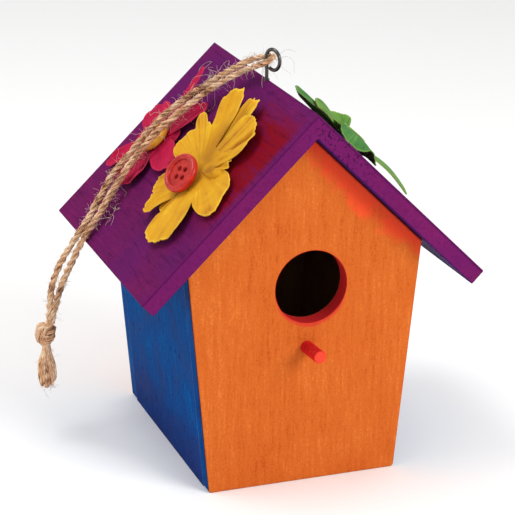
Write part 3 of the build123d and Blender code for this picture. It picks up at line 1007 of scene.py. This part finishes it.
# ---- Hanging twine: one length of three-ply jute, folded through the eye and laid down the left
# slope over the pink flower's button, its two ends knotted together below the eave.
PLY_OFFSET = 0.70 * MM
PLIES, YARNS = 3, 4
YARN_RADIUS = 0.36 * MM
YARN_OFFSET = 0.32 * MM
TWIST = 8.5 * MM
YARN_TWIST = 11.0 * MM
TWINE_ROUTE = [
    (-0.0715, 0.0181, 0.0430),
    (-0.0711, 0.0181, 0.0520),
    (-0.0691, 0.0180, 0.0612),
    (-0.0638, 0.0175, 0.0704),
    (-0.0587, 0.0158, 0.0783),
    (-0.0527, 0.0195, 0.0853),
    (-0.0462, 0.0240, 0.0930),
    (-0.0377, 0.0227, 0.1031),
    (-0.0277, 0.0239, 0.1131),
    (-0.0167, 0.0158, 0.1237),
    (-0.0064, 0.0039, 0.1344),
    (-0.0004, -0.0008, 0.1376),
    (0.0032, -0.0052, 0.1386),
    (-0.0006, -0.0074, 0.1372),
    (-0.0049, -0.0001, 0.1337),
    (-0.0133, 0.0091, 0.1265),
    (-0.0211, 0.0135, 0.1191),
    (-0.0296, 0.0172, 0.1112),
    (-0.0365, 0.0177, 0.1043),
    (-0.0430, 0.0176, 0.0966),
    (-0.0486, 0.0162, 0.0892),
    (-0.0546, 0.0136, 0.0816),
    (-0.0602, 0.0128, 0.0748),
    (-0.0644, 0.0139, 0.0652),
    (-0.0673, 0.0162, 0.0574),
    (-0.0694, 0.0172, 0.0494),
    (-0.0706, 0.0179, 0.0430),
]


def smooth_line(points):
    """Points along the smooth line that the route's points pull."""
    curve = bpy.data.curves.new("route", "CURVE")
    curve.dimensions = "3D"
    spline = curve.splines.new("NURBS")
    spline.points.add(len(points) - 1)
    for place, point in zip(spline.points, points):
        place.co = (*point, 1.0)
    spline.order_u = 3
    spline.use_endpoint_u = True
    spline.resolution_u = 16
    holder = bpy.data.objects.new("route", curve)
    mesh = bpy.data.meshes.new_from_object(holder)
    line = np.array([v.co for v in mesh.vertices], float)
    bpy.data.objects.remove(holder)
    bpy.data.curves.remove(curve)
    bpy.data.meshes.remove(mesh)
    return line


def run_along(line):
    """How far along a line each of its points lies."""
    return np.concatenate([[0], np.cumsum(np.linalg.norm(np.diff(line, axis=0), axis=1))])


def evenly(line, step):
    """The line again, with its points a step apart."""
    along = run_along(line)
    at = np.linspace(0, along[-1], max(4, round(along[-1] / step)))
    return np.stack([np.interp(at, along, line[:, axis]) for axis in range(3)], axis=1)


def carried_frames(line):
    """Two directions across the line at each point, carried along it without twist."""
    ahead = np.gradient(line, axis=0)
    ahead = ahead / np.linalg.norm(ahead, axis=1)[:, None]
    across = np.cross(ahead[0], (0.31, 0.87, 0.38))
    first = []
    for direction in ahead:
        across = across - direction * np.dot(across, direction)
        across = across / np.linalg.norm(across)
        first.append(across)
    first = np.array(first)
    return first, np.cross(ahead, first)


def tube(line, radii, sides, shift=0.0):
    """The points, faces and UVs of a closed tube; U goes round it and V along it, in metres."""
    first, second = carried_frames(line)
    turns = np.linspace(0, FULL_TURN, sides, endpoint=False)
    ring = first[:, None, :] * np.cos(turns)[:, None] + second[:, None, :] * np.sin(turns)[:, None]
    points = (line[:, None, :] + ring * radii[:, None, None]).reshape(-1, 3)
    count = len(line)
    along = run_along(line)
    faces, uvs = [], []
    for i in range(count - 1):
        for j in range(sides):
            k = (j + 1) % sides
            faces.append((i * sides + j, i * sides + k, (i + 1) * sides + k, (i + 1) * sides + j))
            left, right = j / sides + shift, (j + 1) / sides + shift
            uvs += [(left, along[i]), (right, along[i]), (right, along[i + 1]), (left, along[i + 1])]
    faces.append(tuple(reversed(range(sides))))
    faces.append(tuple(range((count - 1) * sides, count * sides)))
    uvs += [(j / sides, 0.0) for j in reversed(range(sides))]
    uvs += [(j / sides, along[-1]) for j in range(sides)]
    return points, faces, uvs


def jute_material(name, pale, middle, deep):
    """Dry plant fibre: streaks along each yarn, from straw to brown, with a rough broken relief."""
    material, tree, shader, place, _ = new_material(name)
    laid = tree.nodes.new("ShaderNodeUVMap")
    laid.uv_map = "along_ply"
    u, v, _ = shader_node(tree, "SeparateXYZ", {0: laid.outputs["UV"]}).outputs
    slant = scaled(tree, v, 60.0, u)
    strands = shader_node(tree, "CombineXYZ", {
        "X": times(tree, slant, 9.0),
        "Y": times(tree, v, 330.0),
        "Z": 0.0,
    }).outputs[0]
    streaks = noise(tree, strands, 1.0, 5.0, 0.7)
    patches = noise(tree, place, 190.0, 3.0, 0.6)
    value = scaled(tree, streaks, 1.1, scaled(tree, patches, 0.8, -0.45))
    colour = tint(tree, ramp(tree, value, 0.32, 0.44), deep, middle)
    colour = tint(tree, ramp(tree, value, 0.46, 0.60), colour, pale)
    tree.links.new(colour, shader.inputs["Base Color"])
    tree.links.new(ramp(tree, streaks, 0.3, 0.7, 0.75, 0.95), shader.inputs["Roughness"])
    shader.inputs["Specular IOR Level"].default_value = 0.2
    set_relief(tree, shader, streaks, 0.30 * MM)
    return material


jute_fibre = jute_material("jute_fibre", srgb(250, 218, 182), srgb(214, 160, 118), srgb(98, 56, 34))
# Paler jute for the loose fibres: partly the paler colour of single fibres, partly a painted highlight
# where thin fibres catch the light
pale_highlit_fibre = jute_material("pale_highlit_fibre", srgb(244, 226, 204), srgb(234, 208, 180), srgb(196, 156, 122))


def fibre_piece(name, tubes, material):
    """Several tubes as one mesh piece in jute."""
    vertices, faces, uvs = [], [], []
    for points, tube_faces, tube_uvs in tubes:
        start = len(vertices)
        vertices += points.tolist()
        faces += [tuple(start + index for index in face) for face in tube_faces]
        uvs += tube_uvs
    mesh = bpy.data.meshes.new(name)
    mesh.from_pydata(vertices, [], faces)
    layer = mesh.uv_layers.new(name="along_ply")
    layer.data.foreach_set("uv", np.array(uvs, np.float32).ravel())
    mesh.materials.append(material)
    mesh.shade_smooth()
    piece = bpy.data.objects.new(name, mesh)
    bpy.context.collection.objects.link(piece)
    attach(piece, "root")
    return piece


def plies(line, seed, fat=1.0):
    """The plies of thin yarns laid round a line, each yarn uneven in thickness and lay."""
    rng = random.Random(seed)
    first, second = carried_frames(line)
    along = run_along(line)

    def across(out, turn):
        return first * (out * np.cos(turn))[:, None] + second * (out * np.sin(turn))[:, None]

    made = []
    for ply in range(PLIES):
        sway = rng.uniform(0, 6.3)
        turn = FULL_TURN * (ply / PLIES + along / TWIST) + 0.35 * np.sin(along / (4.1 * MM) + sway)
        out = PLY_OFFSET * fat * (1 + 0.10 * np.sin(along / (3.3 * MM) + sway))
        middle = line + across(out, turn)
        for yarn in range(YARNS):
            lay = rng.uniform(0, 6.3)
            spin = FULL_TURN * (yarn / YARNS + along / YARN_TWIST) + 0.5 * np.sin(along / (2.9 * MM) + lay)
            apart = YARN_OFFSET * fat * (1 + 0.30 * np.sin(along / (2.1 * MM) + lay))
            lumps = 0.14 * np.sin(along / (1.7 * MM) + lay) + 0.08 * np.sin(along / (0.7 * MM) + 2 * lay)
            radii = YARN_RADIUS * fat * (1 + lumps)
            made.append(tube(middle + across(apart, spin), radii, 6, 1.37 * len(made)))
    return made


twine_line = evenly(smooth_line(TWINE_ROUTE), 0.5 * MM)
# Fuller where it lies on the roof than where it hangs, and drawn thin towards the eye
fullness = np.interp(twine_line[:, 2] / MM, (72.0, 84.0, 108.0, 128.0), (0.90, 0.96, 0.96, 0.80))
twine = fibre_piece("jute_twine", plies(twine_line, 11, fullness), jute_fibre)
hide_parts("hanging_twine")


# Loose fibres stand off the twine all along, and a few longer ones lie curled on the slope.
SLOPE = 84.0 * MM


def left_slope_place(x, z):
    """How far a place lies down the left slope, and how high above it."""
    down = -x * math.cos(PITCH) + (RIDGE - z) * math.sin(PITCH)
    return down, -x * math.sin(PITCH) - (RIDGE - z) * math.cos(PITCH)


def above_roof(point, least):
    """The point, lifted clear of the left slope if it would be in it."""
    x, y, z = point
    if x > 0 or y < ROOF_FRONT or y > ROOF_BACK:
        return point
    down, height = left_slope_place(x, z)
    if height < least and 0 < down < SLOPE:
        return Vector(on_roof(LEFT, np.array(y), np.array(down), np.array(least)).tolist())
    return point


def any_way(rng):
    """A random direction."""
    return Vector((rng.gauss(0, 1), rng.gauss(0, 1), rng.gauss(0, 1)))


def stray_fibre(start, direction, length, curl, rng, thickness, drop=0.0):
    """A thin fibre that wanders from its start, in steps of about 0.7 mm."""
    steps = max(6, round(length / (0.7 * MM)))
    point, heading = Vector(start), Vector(direction).normalized()
    bend = any_way(rng) * curl
    line = [point.copy()]
    for _ in range(steps):
        bend = bend * 0.8 + any_way(rng) * curl * 0.5
        heading = (heading + bend + Vector((0, 0, -drop))).normalized()
        point = above_roof(point + heading * (length / steps), 0.15 * MM)
        line.append(Vector(point))
    line = np.array([tuple(p) for p in line])
    radii = thickness * np.linspace(1.0, 0.55, len(line))
    return tube(line, radii, 3)


SHORT_HAIRS, LONG_HAIRS = 950, 40
fuzz_rng = random.Random(21)
first, second = carried_frames(twine_line)
fuzz = []


def loose_end(skipped, skipped_at_end):
    """A random place on the twine's skin: its number along the line, the way out, and the point."""
    index = fuzz_rng.randrange(skipped, len(twine_line) - skipped_at_end)
    turn = fuzz_rng.uniform(0, FULL_TURN)
    outward = first[index] * math.cos(turn) + second[index] * math.sin(turn)
    return index, outward, twine_line[index] + outward * 1.0 * MM


for _ in range(SHORT_HAIRS):
    index, outward, start = loose_end(4, 4)
    ahead = (twine_line[index + 1] - twine_line[index - 1]) * fuzz_rng.choice((-1, 1)) / MM
    length = fuzz_rng.uniform(1.0, 3.4) * MM
    fuzz.append(stray_fibre(start, outward * 0.6 + ahead * 0.9, length, 0.28, fuzz_rng, 0.06 * MM))
for _ in range(LONG_HAIRS):
    _, outward, start = loose_end(130, 110)
    length = fuzz_rng.uniform(6.0, 13.0) * MM
    fuzz.append(stray_fibre(start, outward, length, 0.34, fuzz_rng, 0.07 * MM, drop=0.25))

# Longer fibres pulled out of the twine, that end in a curl lying on the slope: where each curl
# lies, along Y and down the slope, in millimetres
CURLS = [
    (26.5, 4.7), (26.9, 9.6), (14.0, 3.0), (34.1, 19.1), (12.3, 68.1), (12.1, 65.7), (17.5, 39.5),
    (37.9, 9.9), (16.6, 10.9), (6.7, 1.6), (7.3, 71.7), (31.4, 56.6), (29.3, 47.2), (38.0, 58.0),
]
twine_down, twine_height = left_slope_place(twine_line[:, 0], twine_line[:, 2])
for y, down in CURLS:
    curl = np.linspace(0, 1, 20)
    swing = fuzz_rng.uniform(0, 6.3) + fuzz_rng.choice((-1, 1)) * fuzz_rng.uniform(3.0, 5.4) * curl
    width = fuzz_rng.uniform(1.4, 2.8) * MM * (1 - 0.45 * curl)
    curl_y = y * MM + width * np.cos(swing)
    curl_down = down * MM + width * 1.3 * np.sin(swing)
    nearest = int(np.argmin((twine_line[:, 1] - curl_y[0]) ** 2 + (twine_down - curl_down[0]) ** 2))
    lead = np.linspace(0, 1, 12)[:-1]
    bow = (fuzz_rng.uniform(-3.0, 3.0) * np.sin(math.pi * lead) + 0.7 * np.sin(8.5 * lead)) * MM
    lead_y = twine_line[nearest, 1] + (curl_y[0] - twine_line[nearest, 1]) * lead + bow
    lead_down = twine_down[nearest] + (curl_down[0] - twine_down[nearest]) * lead + bow
    lead_height = twine_height[nearest] + (0.5 * MM - twine_height[nearest]) * lead
    curl_height = (0.5 + fuzz_rng.uniform(0.3, 1.1) * np.sin(math.pi * curl)) * MM
    line = on_roof(
        LEFT,
        np.concatenate([lead_y, curl_y]),
        np.concatenate([lead_down, curl_down]),
        np.concatenate([lead_height, curl_height]),
    )
    fuzz.append(tube(line, np.linspace(0.085, 0.055, len(line)) * MM, 3))
twine_fibres = fibre_piece("twine_fibres", fuzz, pale_highlit_fibre)


# ---- Knot: both ends tied together in one overhand knot, pulled tight into a ball of fat wraps.
KNOT_LOW, KNOT_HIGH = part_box("twine_knot")
KNOT_MIDDLE = (KNOT_LOW + KNOT_HIGH) / 2 + Vector((-0.5 * MM, 0, 0))
KNOT_SQUEEZE = (0.88, 1.0, 1.0)
# Each wrap: its centre, its half sizes, its tilts in degrees and the arc that it covers
KNOT_WRAPS = [
    ((-0.9, -0.3, 0.3), (2.3, 2.9), (80, 0, 12), (40, 330)),
    ((-0.3, -0.8, 0.2), (1.5, 2.8), (84, 0, -6), (20, 340)),
    ((0.6, -0.2, 1.3), (2.6, 2.1), (30, -24, 0), (150, 400)),
    ((0.7, -0.3, -0.2), (2.5, 2.2), (32, -28, 0), (150, 400)),
    ((0.5, -0.2, -1.8), (2.0, 1.8), (26, -22, 0), (140, 410)),
    ((0.0, 0.6, 0.0), (2.6, 2.7), (90, 0, 80), (0, 330)),
]


def knot_wrap(centre, halves, tilts, arc):
    """An arc of an ellipse, tilted, as a line of points."""
    turns = np.radians(np.linspace(arc[0], arc[1], 60))
    flat = np.stack([halves[0] * np.cos(turns), halves[1] * np.sin(turns), 0 * turns], axis=1) * MM
    tilt = Matrix.Identity(3)
    for angle, axis in zip(tilts, "XYZ"):
        tilt = Matrix.Rotation(math.radians(angle), 3, axis) @ tilt
    return (flat @ np.array(tilt).T + np.array(centre) * MM) * KNOT_SQUEEZE + np.array(KNOT_MIDDLE)


knot_tubes = []
for number, wrap in enumerate(KNOT_WRAPS):
    knot_tubes += plies(knot_wrap(*wrap), 30 + number, 0.9)
# The two strands run on through the ball, from the twine's ends to the tails
for number, end in enumerate((TWINE_ROUTE[0], TWINE_ROUTE[-1])):
    t = np.linspace(0, 1, 30)[:, None]
    entry = np.array(end) + np.array((0, 0, 0.8 * MM))
    foot = np.array((KNOT_MIDDLE.x, KNOT_MIDDLE.y, KNOT_LOW.z - 0.5 * MM))
    through = (1 - t) ** 2 * entry + 2 * t * (1 - t) * np.array(KNOT_MIDDLE) + t**2 * foot
    knot_tubes += plies(through, 40 + number, 0.95)
knot = fibre_piece("overhand_knot", knot_tubes, jute_fibre)
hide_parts("twine_knot")


# ---- Tails: the two cut ends below the knot, unlaid into loose fat plies that curl back.
TAIL_LOW, TAIL_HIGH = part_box("twine_tails")
TAIL_MIDDLE = (TAIL_LOW + TAIL_HIGH) / 2
TAIL_YARNS = 9
TAIL_HAIRS = 30
tail_rng = random.Random(5)
tail_tubes = []
for side in (-1, 1):
    for strand in range(TAIL_YARNS):
        turn = FULL_TURN * strand / TAIL_YARNS + 0.4 * side
        bulge = 1.25 * MM * (0.7 + 0.55 * tail_rng.random())
        long = (TAIL_HIGH.z - TAIL_LOW.z) * (0.98 + 0.14 * tail_rng.random()) * (1.0 if side < 0 else 0.95)
        t = np.linspace(0, 1, 26)
        swing = turn + 1.1 * t * side
        open_out = bulge * np.interp(t, [0, 0.2, 0.5, 0.8, 1.0], [0.3, 0.4, 1.0, 1.05, 0.45]) + 0.15 * MM
        x = TAIL_MIDDLE.x + side * (0.4 + 0.9 * np.sin(math.pi * t * 0.75)) * MM + open_out * np.cos(swing)
        y = TAIL_MIDDLE.y + open_out * np.sin(swing) + 0.4 * MM * np.sin(5 * t + strand)
        z = TAIL_HIGH.z + 0.8 * MM - long * (t - 0.12 * np.clip((t - 0.8) / 0.2, 0, 1) ** 2)
        line = np.stack([x, y, z], axis=1)
        radii = np.interp(t, [0, 0.15, 0.75, 1.0], [0.42, 0.5, 0.58, 0.42]) * MM
        tail_tubes.append(tube(line, radii, 7, 2.1 * strand))
    for _ in range(TAIL_HAIRS):
        height = tail_rng.uniform(TAIL_LOW.z, TAIL_HIGH.z)
        start = Vector((TAIL_MIDDLE.x + side * 1.3 * MM, TAIL_MIDDLE.y, height))
        outward = Vector((tail_rng.gauss(0, 1), tail_rng.gauss(0, 1), -1.0))
        length = tail_rng.uniform(2.5, 5.0) * MM
        tail_tubes.append(stray_fibre(start, outward, length, 0.3, tail_rng, 0.06 * MM))
tails = fibre_piece("frayed_tails", tail_tubes, jute_fibre)
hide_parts("twine_tails")
